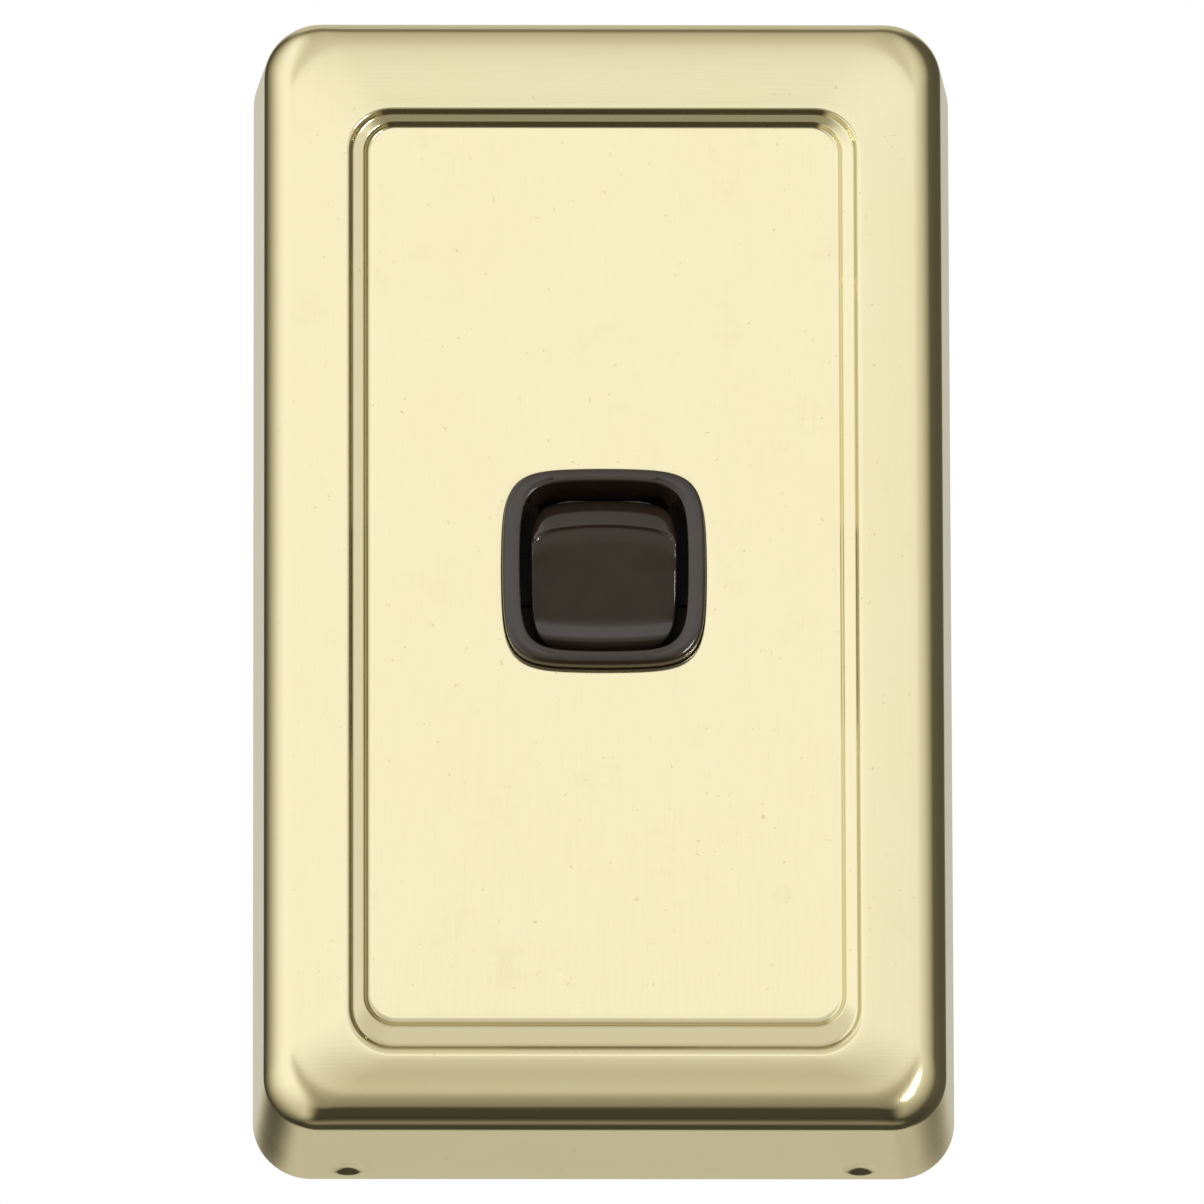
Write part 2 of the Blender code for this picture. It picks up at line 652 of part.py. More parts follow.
def build():
    clear_scene()
    make_brass_cover()
    make_base_plate()
    make_bezel_collar()
    rocker_pivot = make_pivot("rocker_pivot", PIVOT_Y, REST_TILT)
    make_rocker(rocker_pivot)
    make_spring_plunger(rocker_pivot)
    make_toggle_spring(rocker_pivot)
    make_rocker_axle()
    bridge_pivot = make_pivot("bridge_pivot", BRIDGE_AXIS_Y, REST_TILT * BRIDGE_RATIO)
    make_contact_bridge(bridge_pivot)
    make_moving_contact("moving_contact_upper", TIP_Z, bridge_pivot)
    make_moving_contact("moving_contact_lower", -TIP_Z, bridge_pivot)
    make_fixed_contact("fixed_contact_upper", 1)
    make_fixed_contact("fixed_contact_lower", -1)
    make_common_saddle()
    make_mechanism_case()
    make_rear_cover()
    for name, side, up in terminal_places():
        make_terminal(name, side, up)
        make_screw(f"terminal_screw_{name}",
                   (side * 10.1, TERMINAL_SCREW_Y, up * TERMINAL_Z), (side, 0, 0), 1.05, 1.6, 2.2, 1.5)
    for label, side in (("right", 1), ("left", -1)):
        make_screw(f"mechanism_screw_{label}", (side * MECH_SCREW_X, -5.7, 0), (0, 1, 0),
                   1.0, 5.2, 2.4, 1.5)
    for label, up in (("upper", 1), ("lower", -1)):
        make_screw(f"closing_screw_{label}", (0, 12.8, up * CLOSING_SCREW_Z), (0, 1, 0),
                   1.05, 7.2, 2.2, 1.4)
        make_screw(f"mounting_screw_{label}", (0, FIXING_SEAT_Y - FIT_GAP, up * FIXING_Z),
                   (0, -1, 0), 1.75, 27.0, 3.5, 2.4)


build()
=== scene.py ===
import json
import math

import bmesh
import bpy
from mathutils import Matrix, Vector

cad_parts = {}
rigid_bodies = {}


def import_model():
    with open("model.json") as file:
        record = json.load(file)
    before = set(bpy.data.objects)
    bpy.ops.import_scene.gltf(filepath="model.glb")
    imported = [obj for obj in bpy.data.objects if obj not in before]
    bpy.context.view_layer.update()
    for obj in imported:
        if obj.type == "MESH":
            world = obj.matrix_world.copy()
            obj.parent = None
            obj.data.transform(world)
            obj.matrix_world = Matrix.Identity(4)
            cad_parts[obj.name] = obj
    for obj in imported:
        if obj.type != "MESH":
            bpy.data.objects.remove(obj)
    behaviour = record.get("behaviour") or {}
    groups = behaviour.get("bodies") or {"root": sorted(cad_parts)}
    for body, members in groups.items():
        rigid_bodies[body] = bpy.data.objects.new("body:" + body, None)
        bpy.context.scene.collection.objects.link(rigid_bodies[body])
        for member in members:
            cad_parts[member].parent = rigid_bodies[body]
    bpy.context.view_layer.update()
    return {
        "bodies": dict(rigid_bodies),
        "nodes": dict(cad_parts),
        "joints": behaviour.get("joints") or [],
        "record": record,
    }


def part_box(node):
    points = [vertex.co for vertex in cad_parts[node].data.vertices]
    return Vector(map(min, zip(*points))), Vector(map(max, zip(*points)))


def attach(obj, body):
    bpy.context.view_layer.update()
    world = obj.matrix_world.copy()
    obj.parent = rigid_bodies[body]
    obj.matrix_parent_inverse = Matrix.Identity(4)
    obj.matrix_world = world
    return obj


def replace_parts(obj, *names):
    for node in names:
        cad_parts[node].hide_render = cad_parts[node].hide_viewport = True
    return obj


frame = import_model()

MM = 0.001


# ---------------------------------------------------------------- shader maths

class Socket:
    """An output socket whose arithmetic adds Math nodes to its tree."""

    def __init__(self, tree, link):
        self.tree, self.link = tree, link

    def math(self, operation, *values):
        return node(self.tree, "ShaderNodeMath", {"operation": operation},
                    {index: value for index, value in enumerate(values)})

    def __add__(self, other):
        return self.math("ADD", self, other)

    def __sub__(self, other):
        return self.math("SUBTRACT", self, other)

    def __mul__(self, other):
        return self.math("MULTIPLY", self, other)

    def __truediv__(self, other):
        return self.math("DIVIDE", self, other)

    def __rsub__(self, other):
        return self.math("SUBTRACT", other, self)

    def __neg__(self):
        return self.math("MULTIPLY", self, -1.0)

    __radd__, __rmul__ = __add__, __mul__

    def magnitude(self):
        return self.math("ABSOLUTE", self)

    def step(self, low, high, start=0.0, end=1.0):
        """Smooth step from start to end while this value goes from low to high."""
        return node(self.tree, "ShaderNodeMapRange", {"interpolation_type": "SMOOTHSTEP"},
                    {"Value": self, "From Min": low, "From Max": high,
                     "To Min": start, "To Max": end})


def node(tree, kind, settings=None, values=None, output=0):
    """Add a node, set its properties and sockets, and return one of its outputs."""
    made = tree.nodes.new(kind)
    for name, value in (settings or {}).items():
        setattr(made, name, value)
    for name, value in (values or {}).items():
        if isinstance(value, Socket):
            tree.links.new(value.link, made.inputs[name])
        else:
            made.inputs[name].default_value = value
    return Socket(tree, made.outputs[output])


def object_axes(tree):
    """The three parts of the Object coordinate."""
    place = node(tree, "ShaderNodeTexCoord", output=3)
    return [node(tree, "ShaderNodeSeparateXYZ", {}, {0: place}, output=axis) for axis in range(3)]


def vector(tree, x, y, z):
    return node(tree, "ShaderNodeCombineXYZ", {}, {0: x, 1: y, 2: z})


def noise(tree, place, scale, detail=3.0, roughness=0.55):
    return node(tree, "ShaderNodeTexNoise", {},
                {"Vector": place, "Scale": scale, "Detail": detail, "Roughness": roughness})


def blend_colours(tree, amount, first, second):
    mix = tree.nodes.new("ShaderNodeMix")
    mix.data_type = "RGBA"
    for index, value in ((0, amount), (6, first), (7, second)):
        if isinstance(value, Socket):
            tree.links.new(value.link, mix.inputs[index])
        else:
            mix.inputs[index].default_value = value
    return Socket(tree, mix.outputs[2])


def new_material(name):
    """A material with an empty tree, its Principled shader and a plain way to feed it."""
    material = bpy.data.materials.new(name)
    material.use_nodes = True
    return material, material.node_tree, material.node_tree.nodes["Principled BSDF"]


def feed(tree, shader, **values):
    """Set or link Principled sockets by name, with underscores for spaces."""
    for name, value in values.items():
        socket = shader.inputs[name.replace("_", " ")]
        if isinstance(value, Socket):
            tree.links.new(value.link, socket)
        else:
            socket.default_value = value


def bump(tree, height, strength, distance):
    return node(tree, "ShaderNodeBump", {}, {"Height": height, "Strength": strength,
                                             "Distance": distance})


# ---------------------------------------------------------------- materials

def polished_brass():
    """Buffed yellow brass: fine hairlines, faint handling marks and a slow ripple of the sheet."""
    material, tree, shader = new_material("polished_brass")
    x, y, z = object_axes(tree)
    place = vector(tree, x, y, z)
    hairline = noise(tree, vector(tree, x * 5200.0, y * 900.0, z * 240.0), 1.0, 2.0)
    cross_line = noise(tree, vector(tree, x * 200.0, y * 900.0, z * 4300.0), 1.0, 2.0)
    cloud = noise(tree, place, 55.0, 4.0, 0.6)
    smudge = noise(tree, place, 170.0, 5.0, 0.65).step(0.56, 0.72)
    speck = noise(tree, place, 1300.0, 2.0, 0.5).step(0.72, 0.77)
    warm = blend_colours(tree, cloud.step(0.35, 0.7), (0.893, 0.812, 0.530, 1.0),
                         (0.885, 0.800, 0.510, 1.0))
    worn = blend_colours(tree, smudge * 0.03 + speck * 0.25, warm, (0.70, 0.57, 0.27, 1.0))
    feed(tree, shader, Base_Color=worn, Metallic=1.0,
         Roughness=smudge * 0.02 + speck * 0.10 + hairline * 0.07 + 0.07,
         Normal=bump(tree, hairline * 0.6 + cross_line * 0.4, 0.10, 0.00003))
    return material


def gloss_moulding():
    """Dark brown gloss thermoset with a slight orange peel and dust in the low spots."""
    material, tree, shader = new_material("dark_moulding")
    x, y, z = object_axes(tree)
    place = vector(tree, x, y, z)
    peel = noise(tree, place, 900.0, 2.0, 0.5)
    patch = noise(tree, place, 260.0, 3.0, 0.6)
    tone = blend_colours(tree, patch.step(0.3, 0.7), (0.0225, 0.0150, 0.0105, 1.0),
                         (0.0280, 0.0185, 0.0125, 1.0))
    feed(tree, shader, Base_Color=tone, Roughness=patch * 0.10 + 0.07,
         Normal=bump(tree, peel, 0.10, 0.00003))
    shader.inputs["Specular IOR Level"].default_value = 0.78
    return material


def satin_moulding(name, dark, light, gloss=0.42):
    """Moulded plastic with a fine spark-eroded grain, lighter where it is rubbed."""
    material, tree, shader = new_material(name)
    x, y, z = object_axes(tree)
    place = vector(tree, x, y, z)
    pits = noise(tree, place, 1500.0, 3.0, 0.6)
    patch = noise(tree, place, 90.0, 4.0, 0.6)
    flow = noise(tree, vector(tree, x * 60.0, y * 20.0, z * 240.0), 1.0, 2.0)
    tone = blend_colours(tree, patch.step(0.3, 0.75), dark, light)
    feed(tree, shader, Base_Color=blend_colours(tree, flow.step(0.55, 0.8) * 0.3, tone, light),
         Roughness=patch * 0.2 + pits * 0.08 + gloss - 0.1,
         Normal=bump(tree, pits, 0.35, 0.00006))
    return material


def worked_metal(name, clean, stained, roughness, line_scale):
    """Bare metal with drawn or turned lines and uneven staining."""
    material, tree, shader = new_material(name)
    x, y, z = object_axes(tree)
    place = vector(tree, x, y, z)
    lines = noise(tree, vector(tree, x * line_scale[0], y * line_scale[1], z * line_scale[2]),
                  1.0, 2.0)
    stain = noise(tree, place, 420.0, 4.0, 0.65)
    grit = noise(tree, place, 2600.0, 2.0, 0.6)
    tone = blend_colours(tree, stain.step(0.42, 0.74), clean, stained)
    feed(tree, shader, Base_Color=tone, Metallic=1.0,
         Roughness=stain * 0.18 + lines * 0.12 + roughness - 0.1,
         Normal=bump(tree, lines * 0.8 + grit * 0.4, 0.25, 0.00003))
    return material


def pale_floor():
    """Pale floor seen from above only, so that it never hides the part from below."""
    material, tree, shader = new_material("pale_floor")
    x, y, z = object_axes(tree)
    mottle = noise(tree, vector(tree, x, y, z), 14.0, 4.0)
    feed(tree, shader, Roughness=0.6,
         Base_Color=blend_colours(tree, mottle, (0.80, 0.795, 0.785, 1.0),
                                  (0.84, 0.835, 0.825, 1.0)))
    clear = node(tree, "ShaderNodeBsdfTransparent")
    behind = node(tree, "ShaderNodeNewGeometry", output=6)
    shown = node(tree, "ShaderNodeMixShader", {},
                 {0: behind, 1: Socket(tree, shader.outputs[0]), 2: clear})
    tree.links.new(shown.link, tree.nodes["Material Output"].inputs["Surface"])
    return material


# ---------------------------------------------------------------- mesh helpers

def to_object(name, bm, material, body, smooth=32.0):
    """Finish a bmesh in millimetres as a piece in metres that rides on a body."""
    bmesh.ops.remove_doubles(bm, verts=bm.verts, dist=0.0005)
    bmesh.ops.recalc_face_normals(bm, faces=bm.faces)
    bmesh.ops.transform(bm, matrix=Matrix.Scale(MM, 4), verts=bm.verts)
    mesh = bpy.data.meshes.new(name)
    bm.to_mesh(mesh)
    bm.free()
    mesh.shade_smooth()
    mesh.set_sharp_from_angle(angle=math.radians(smooth))
    piece = bpy.data.objects.new(name, mesh)
    bpy.context.scene.collection.objects.link(piece)
    mesh.materials.append(material)
    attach(piece, body)
    return piece


def ring(bm, points):
    """A closed loop of edges through the points."""
    verts = [bm.verts.new(point) for point in points]
    return [bm.edges.new((verts[i - 1], verts[i])) for i in range(len(verts))]


def loft(bm, loops, closed=False, cap_first=False, cap_last=False):
    """Bridge a row of loops, and cap or close its ends."""
    rings = [ring(bm, loop) for loop in loops]
    pairs = list(zip(rings, rings[1:]))
    if closed:
        pairs.append((rings[-1], rings[0]))
    for first, second in pairs:
        bmesh.ops.bridge_loops(bm, edges=first + second)
    for wanted, edges in ((cap_first, rings[0]), (cap_last, rings[-1])):
        if wanted:
            bmesh.ops.contextual_create(bm, geom=edges)


def rounded_loop(half_x, half_z, radius, y, shares, steps=14, side_points=24):
    """Points round a rectangle with round corners; shares place the points along x sides."""
    arcs = []
    for turn, (sx, sz) in enumerate(((1, 1), (-1, 1), (-1, -1), (1, -1))):
        arc = []
        for step in range(steps + 1):
            angle = math.pi / 2 * (turn + step / steps)
            arc.append(Vector((sx * (half_x - radius) + radius * math.cos(angle), y,
                               sz * (half_z - radius) + radius * math.sin(angle))))
        arcs.append(arc)
    points = []
    for turn, arc in enumerate(arcs):
        after = arcs[(turn + 1) % 4][0]
        along = shares if turn % 2 == 0 else [step / side_points for step in range(1, side_points)]
        points += arc + [arc[-1].lerp(after, share) for share in along]
    return points


# Share by which the middle of each side of a soft square stands out past its ends.
BOW = 0.045


def soft_square(half_x, half_z, y, angles, power):
    """Points round a square with bowed sides and soft corners."""
    points = []
    for angle in angles:
        across, up = math.cos(angle), math.sin(angle)
        reach = (abs(across / half_x) ** power + abs(up / half_z) ** power) ** (-1 / power)
        x, z = reach * across, reach * up
        points.append(Vector((x * (1 - BOW * (z / half_z) ** 2), y,
                              z * (1 - BOW * (x / half_x) ** 2))))
    return points


def ease(value, low, high):
    """Smooth step of a plain number."""
    share = min(max((value - low) / (high - low), 0.0), 1.0)
    return share * share * (3 - 2 * share)


def even_angles(count):
    return [2 * math.pi * step / count for step in range(count)]


# ---------------------------------------------------------------- brass cover

COVER_LOW, COVER_HIGH = (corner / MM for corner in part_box("brass_cover"))
HALF_X, HALF_Z = COVER_HIGH.x, COVER_HIGH.z
FACE_Y = COVER_LOW.y
SHEET = 0.9
FLARE = math.radians(4.5)
EDGE_ROLL = 3.4
RIM_CORNER = 5.8
RIM_ROUND = 0.14
FRONT_SHORTER, FRONT_RAISED = 0.28, 0.03
STEP_SHORTER, STEP_LOWERED, PANEL_SHORTER = 0.35, 1.35, 0.95
CROWN_OUT, CROWN_IN = math.radians(3.4), math.radians(2.4)
RECESS_INSET = 9.2
RECESS_CORNER = 4.6
ROLL_STEPS, CROWN_STEPS, STEP_ROWS = 24, 10, 60
DIMPLE_X, DIMPLE_Y, DIMPLE_RADIUS, DIMPLE_DEPTH = 25.5, -2.9, 1.75, 0.32
SKIRT_STEP = 0.2
FIRST_SKIRT_ROW, LAST_SKIRT_ROW = 2, 28
# Slope of the step from the frame down to the panel, as (distance in, degrees): two quick
# drops with a gentle shelf between them.
STEP_SLOPES = ((0.0, -2.4), (0.30, 20), (0.45, 62), (0.60, 62), (0.75, 30), (0.90, 14),
               (1.75, 14), (1.85, 40), (1.95, 60), (2.10, 60), (2.25, 30), (2.50, 0))
RECESS_RUN = STEP_SLOPES[-1][0]
COLLAR_HALF, BORE_HALF = (10.15, 10.20), (8.4, 8.85)
COLLAR_FRONT, COLLAR_ROUND = -16.75, 0.46
LIP_GAP, LIP_ROUND = 0.04, 0.11
SQUARENESS = 5.8
PANEL_CROWN = 0.03


def between(table, place):
    """Value at a place in a table of (place, value) pairs in rising order."""
    for (low, first), (high, second) in zip(table, table[1:]):
        if place <= high:
            return first + (second - first) * (place - low) / (high - low)
    return table[-1][1]


def step_drops():
    """Depth of the step below the frame at even distances in."""
    width = RECESS_RUN / STEP_ROWS
    drops = [0.0]
    for row in range(STEP_ROWS):
        slope = between(STEP_SLOPES, (row + 0.5) * width)
        drops.append(drops[-1] + math.tan(math.radians(slope)) * width)
    return drops


DROPS = step_drops()
PANEL_Y = FACE_Y + DROPS[-1]


def roll_rows(offset):
    """(inset, y) points of the edge roll and the crowned frame, for a skin set in by offset."""
    length = RECESS_INSET - 4.4
    rise = length * (math.tan(CROWN_OUT) + math.tan(CROWN_IN)) / 2
    roll_y = FACE_Y + rise + EDGE_ROLL * math.cos(CROWN_OUT)
    start = (EDGE_ROLL * math.sin(FLARE) - roll_y) * math.tan(FLARE)
    middle = start + EDGE_ROLL * math.cos(FLARE)
    roll = EDGE_ROLL - offset
    rows = []
    for step in range(ROLL_STEPS + 1):
        angle = math.pi / 2 - FLARE + (CROWN_OUT - math.pi / 2 + FLARE) * step / ROLL_STEPS
        rows.append((middle - roll * math.sin(angle), roll_y - roll * math.cos(angle)))
    inset, y = rows[-1]
    width = RECESS_INSET - inset
    for step in range(1, CROWN_STEPS + 1):
        t = step / CROWN_STEPS
        climb = math.tan(CROWN_OUT) * (t - t * t / 2) + math.tan(CROWN_IN) * t * t / 2
        rows.append((inset + width * t, y - length * climb))
    return rows


def outer_rows():
    """(inset, y, corner radius) rows of the outer skin from the rim to the panel."""
    rows = [(RIM_ROUND, 0.0), (RIM_ROUND * 0.3, -RIM_ROUND * 0.3)]
    rows += [(-y * math.tan(FLARE), y) for y in skirt_levels()]
    rows += roll_rows(0.0)
    edge = len(rows)
    rows += [(RECESS_INSET + RECESS_RUN * row / STEP_ROWS, FACE_Y + DROPS[row])
             for row in range(1, STEP_ROWS + 1)]
    rows += [(rows[-1][0] + 0.12, PANEL_Y - 0.002), (rows[-1][0] + 0.6, PANEL_Y - 0.005)]
    return [(inset, y, corner_radius(inset, index >= edge))
            for index, (inset, y) in enumerate(rows)]


def inner_rows():
    """(inset, y, corner radius) rows of the inner skin from the panel back to the rim."""
    rim = SHEET / math.cos(FLARE)
    rows = [(rim - RIM_ROUND, -0.01), (rim - RIM_ROUND * 0.3, -RIM_ROUND * 0.3)]
    rows += [(rim - y * math.tan(FLARE), y) for y in skirt_levels()]
    rows += roll_rows(SHEET)[:-2]
    back = PANEL_Y + SHEET
    front = FACE_Y + SHEET
    rows += [(RECESS_INSET - 0.35, front + 0.04), (RECESS_INSET - 0.02, front + 0.22),
             (RECESS_INSET + 0.16, front + 0.60), (RECESS_INSET + 0.26, back - 0.45),
             (RECESS_INSET + 0.46, back - 0.16), (RECESS_INSET + 0.85, back - 0.02),
             (RECESS_INSET + 1.3, back)]
    return [(inset, y, corner_radius(inset, inset > RECESS_INSET)) for inset, y in rows][::-1]


def skirt_levels():
    """Heights of the rows that are close enough together to carry the dimples."""
    return [-SKIRT_STEP * step for step in range(FIRST_SKIRT_ROW - 1, LAST_SKIRT_ROW)]


def corner_radius(inset, past_frame):
    """Corner radius of the row at an inset: nearly even over the frame, tighter in the recess."""
    if past_frame:
        return RECESS_CORNER - 0.8 * (inset - RECESS_INSET)
    return RIM_CORNER - (RIM_CORNER - RECESS_CORNER) * max(inset, 0.0) / RECESS_INSET


def cover_loop(inset, y, radius, shares):
    """One row of the cover, with the front face and its step placed a little off centre."""
    front = ease(-y, 0.0, 13.0)
    frame = ease(inset, 4.4, RECESS_INSET)
    panel = min(max((inset - RECESS_INSET) / RECESS_RUN, 0.0), 1.0)
    half_z = (HALF_Z - inset - FRONT_SHORTER * front * (1 - frame)
              - STEP_SHORTER * frame * (1 - panel) - PANEL_SHORTER * panel)
    lift = FRONT_RAISED * front * (1 - frame) - STEP_LOWERED * frame * (1 - panel)
    points = rounded_loop(HALF_X - inset, half_z, radius, y, shares)
    for point in points:
        point.z += lift
    return points


def dimple_pull(vert):
    """How far a skirt point is pressed in by the nearest dimple."""
    away = math.hypot(abs(vert.co.x) - DIMPLE_X, vert.co.y - DIMPLE_Y)
    if away >= DIMPLE_RADIUS or abs(vert.co.z) < HALF_Z - 3.0:
        return 0.0
    return DIMPLE_DEPTH * (0.5 + 0.5 * math.cos(math.pi * away / DIMPLE_RADIUS)) ** 0.7


def make_cover(material):
    """The pressed cover as one closed sheet with a rolled lip round the aperture."""
    straight = HALF_X - RIM_CORNER
    fine = [SKIRT_STEP * step for step in range(-10, 11)]
    places = sorted([x + side * DIMPLE_X for side in (1, -1) for x in fine]
                    + [-20.0, -15.0, -10.0, -5.0, 0.0, 5.0, 10.0, 15.0, 20.0])
    shares = [(x + straight) / (2 * straight) for x in places]
    outside, inside = ([cover_loop(*row, shares) for row in rows]
                       for rows in (outer_rows(), inner_rows()))
    count = len(outside[-1])
    first = math.atan2(outside[-1][0].z, outside[-1][0].x)
    angles = []
    for index, point in enumerate(outside[-1]):
        even = first + 2 * math.pi * index / count
        own = math.atan2(point.z, point.x)
        own += 2 * math.pi * round((even - own) / (2 * math.pi))
        angles.append((own + even) / 2)
    top = min(range(count), key=lambda index: abs(angles[index] - math.pi / 2))
    angles = angles[top:] + angles[:top]
    half_x, half_z = (half + LIP_GAP for half in COLLAR_HALF)
    lip_y = PANEL_Y - PANEL_CROWN
    lip = [soft_square(15.5, 15.5, PANEL_Y - 0.6 * PANEL_CROWN, angles, 2.5),
           soft_square(half_x + 0.8, half_z + 0.8, PANEL_Y - 0.8 * PANEL_CROWN, angles,
                       SQUARENESS)]
    for step in range(9):
        turn = math.pi / 2 * step / 8
        grow = LIP_ROUND * (1 - math.sin(turn))
        lip.append(soft_square(half_x + grow, half_z + grow,
                               lip_y + LIP_ROUND * (1 - math.cos(turn)), angles, SQUARENESS))
    lip += [soft_square(half_x, half_z, lip_y + SHEET, angles, SQUARENESS),
            soft_square(half_x + 0.8, half_z + 0.8, lip_y + SHEET + 0.005, angles, SQUARENESS),
            soft_square(15.5, 15.5, PANEL_Y + SHEET - 0.005, angles, 2.5)]
    bm = bmesh.new()
    loft(bm, outside + lip + inside, closed=True)
    for vert in bm.verts:
        vert.co.z -= math.copysign(dimple_pull(vert), vert.co.z)
    cover = to_object("brass_cover_sheet", bm, material, "cover", smooth=60.0)
    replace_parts(cover, "brass_cover")
    return cover


# ---------------------------------------------------------------- collar and rocker

def make_collar(material, gap_shade):
    """Soft-square collar with a flat rim, a deep bore and a flange, and its two axle ears.

    Each ear piece also carries the strip that closes the gap beside the rocker; ear and strip are
    near-black, painted shade for that unlit gap."""
    angles = even_angles(200)
    front = COLLAR_FRONT
    (out_x, out_z), (in_x, in_z) = COLLAR_HALF, BORE_HALF

    def outer(inset, y):
        return soft_square(out_x - inset, out_z - inset, y, angles, SQUARENESS)

    def inner(outset, y):
        return soft_square(in_x + outset, in_z + outset, y, angles, SQUARENESS)

    rows = [outer(0.0, -11.52), outer(0.0, -14.0), outer(0.0, front + COLLAR_ROUND + 0.2)]
    for step in range(9):
        turn = math.pi / 2 * step / 8
        rows.append(outer(COLLAR_ROUND * (1 - math.cos(turn)),
                          front + 0.03 + COLLAR_ROUND * (1 - math.sin(turn))))
    rows += [outer(0.62, front + 0.012), outer(0.95, front), inner(0.42, front + 0.012),
             inner(0.24, front + 0.03)]
    for step in range(1, 9):
        turn = math.pi / 2 * step / 8
        rows.append(inner(0.18 * (1 - math.sin(turn)), front + 0.03 + 0.18 * (1 - math.cos(turn))))
    flange = [soft_square(11.5, 11.5, y, angles, 12.0) for y in (-10.3, -11.5)]
    rows += [inner(0.0, front + 0.6), inner(-0.04, front + 3.0), inner(0.0, -10.32)] + flange
    bm = bmesh.new()
    loft(bm, rows, closed=True)
    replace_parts(to_object("collar_moulding", bm, material, "housing", smooth=40.0),
                "bezel_collar")
    for side, name in ((1, "collar_ear_right"), (-1, "collar_ear_left")):
        bm = bmesh.new()
        block(bm, (side * 7.5, -9.6, 0.0), (3.8, 3.4, 5.2), 0.25)
        # Strip closing the gap beside the rocker: a dark sheet standing where there is only shade,
        # so painted shade.
        block(bm, (side * 7.7, -10.6, 0.0), (2.6, 0.5, 15.6), 0.1)
        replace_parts(to_object(name, bm, gap_shade, "housing"), "bezel_collar")


def block(bm, middle, size, round_off):
    """A box with rounded edges."""
    made = bmesh.ops.create_cube(bm, size=1.0, matrix=Matrix.Translation(middle)
                                 @ Matrix.Diagonal((*size, 1.0)))
    edges = list({edge for vert in made["verts"] for edge in vert.link_edges})
    bmesh.ops.bevel(bm, geom=edges, offset=round_off, segments=3, profile=0.5, affect="EDGES",
                    material=-1)


ROCKER_TILT = 7.0
PIVOT = Vector((0.0, -9.4, 0.0))
ROCKER_HALF_X, ROCKER_HALF_Z, ROCKER_POWER = 7.3, 7.8, 4.3
CREST_Y, ROCKER_BACK_Y = -15.9, -12.0
ROCKER_END, ROCKER_RAISED = 7.7, 0.36
EDGE_FILLET = 0.30

# Slope of the button's front from its top end to its bottom end, as (height, degrees that the
# surface faces down) with the switch at rest.
BUTTON_SLOPES = ((7.7, -80), (7.6, -68), (7.45, -52), (7.2, -38), (6.8, -31), (6.2, -27),
                 (5.2, -24), (4.85, -20), (4.79, 48), (4.58, 48), (4.5, 12), (4.2, 8), (3.2, 11),
                 (2.9, 17), (-4.4, 16), (-5.1, 3), (-5.7, -1), (-6.3, -1), (-6.65, 10),
                 (-7.0, 35), (-7.3, 55), (-7.55, 70), (-7.7, 80))
PROFILE_STEP = 0.01


def button_profile():
    """Front depth at even heights from the bottom end up, worked out from the slopes."""
    table = BUTTON_SLOPES[::-1]
    depths, y, place = [], 0.0, 0
    for step in range(round(2 * ROCKER_END / PROFILE_STEP) + 1):
        z = -ROCKER_END + PROFILE_STEP * step
        while place < len(table) - 2 and z > table[place + 1][0]:
            place += 1
        (low, first), (high, second) = table[place], table[place + 1]
        slope = first + (second - first) * (z - low) / (high - low) - ROCKER_TILT
        depths.append(y)
        y -= math.tan(math.radians(slope)) * PROFILE_STEP
    return [depth - min(depths) + CREST_Y for depth in depths]


def make_rocker(material):
    """Hollow-faced button whose upper crest is arched, on its stem."""
    profile = button_profile()

    def front(x, z):
        """Depth of the face, with its crest bowed up in the middle and down at the sides."""
        arch = 0.55 * (x / 6.0) ** 2 + 1.1 * abs(x / ROCKER_HALF_X) ** 10
        z += arch * ease(z, 0.0, 2.2) - 0.5 * arch * ease(-z, 3.2, 6.0)
        return profile[min(max(round((z + ROCKER_END) / PROFILE_STEP), 0), len(profile) - 1)]

    heights = sorted({round(-ROCKER_END + 0.154 * step, 3) for step in range(101)}
                     | {round(2.6 + 0.05 * step, 3) for step in range(52)}
                     | {-7.67, -7.62, 7.62, 7.67})
    loops = []
    for z in heights:
        half = ROCKER_HALF_X * (1 - abs(z / ROCKER_HALF_Z) ** ROCKER_POWER) ** (1 / ROCKER_POWER)
        flat = half - EDGE_FILLET
        across = [(flat * step / 22, 0.0) for step in range(-22, 23)]
        corner = [(flat + EDGE_FILLET * math.sin(math.pi / 2 * step / 7),
                   EDGE_FILLET * (1 - math.cos(math.pi / 2 * step / 7))) for step in range(1, 8)]
        points = [(-x, dip) for x, dip in corner[::-1]] + across + corner
        loop = [Vector((x, min(front(x, z) + dip, ROCKER_BACK_Y - 0.1), z)) for x, dip in points]
        loops.append(loop + [Vector((half, ROCKER_BACK_Y, z)), Vector((-half, ROCKER_BACK_Y, z))])
    for loop in loops:
        for point in loop:
            point.z += ROCKER_RAISED
    turn = (Matrix.Translation(PIVOT) @ Matrix.Rotation(math.radians(ROCKER_TILT), 4, "X")
            @ Matrix.Translation(-PIVOT))
    bm = bmesh.new()
    loft(bm, loops, cap_first=True, cap_last=True)
    bmesh.ops.transform(bm, matrix=turn, verts=bm.verts)
    button = to_object("rocker_button", bm, material, "rocker", smooth=50.0)
    bm = bmesh.new()
    block(bm, (0.0, -10.2, 0.0), (10.4, 5.4, 4.6), 0.3)
    block(bm, (0.0, -3.9, 0.0), (5.4, 7.8, 5.4), 0.3)
    bmesh.ops.transform(bm, matrix=turn, verts=bm.verts)
    stem = to_object("rocker_stem", bm, material, "rocker")
    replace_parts(button, "rocker")
    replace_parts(stem, "rocker")


# ---------------------------------------------------------------- light, floor and camera

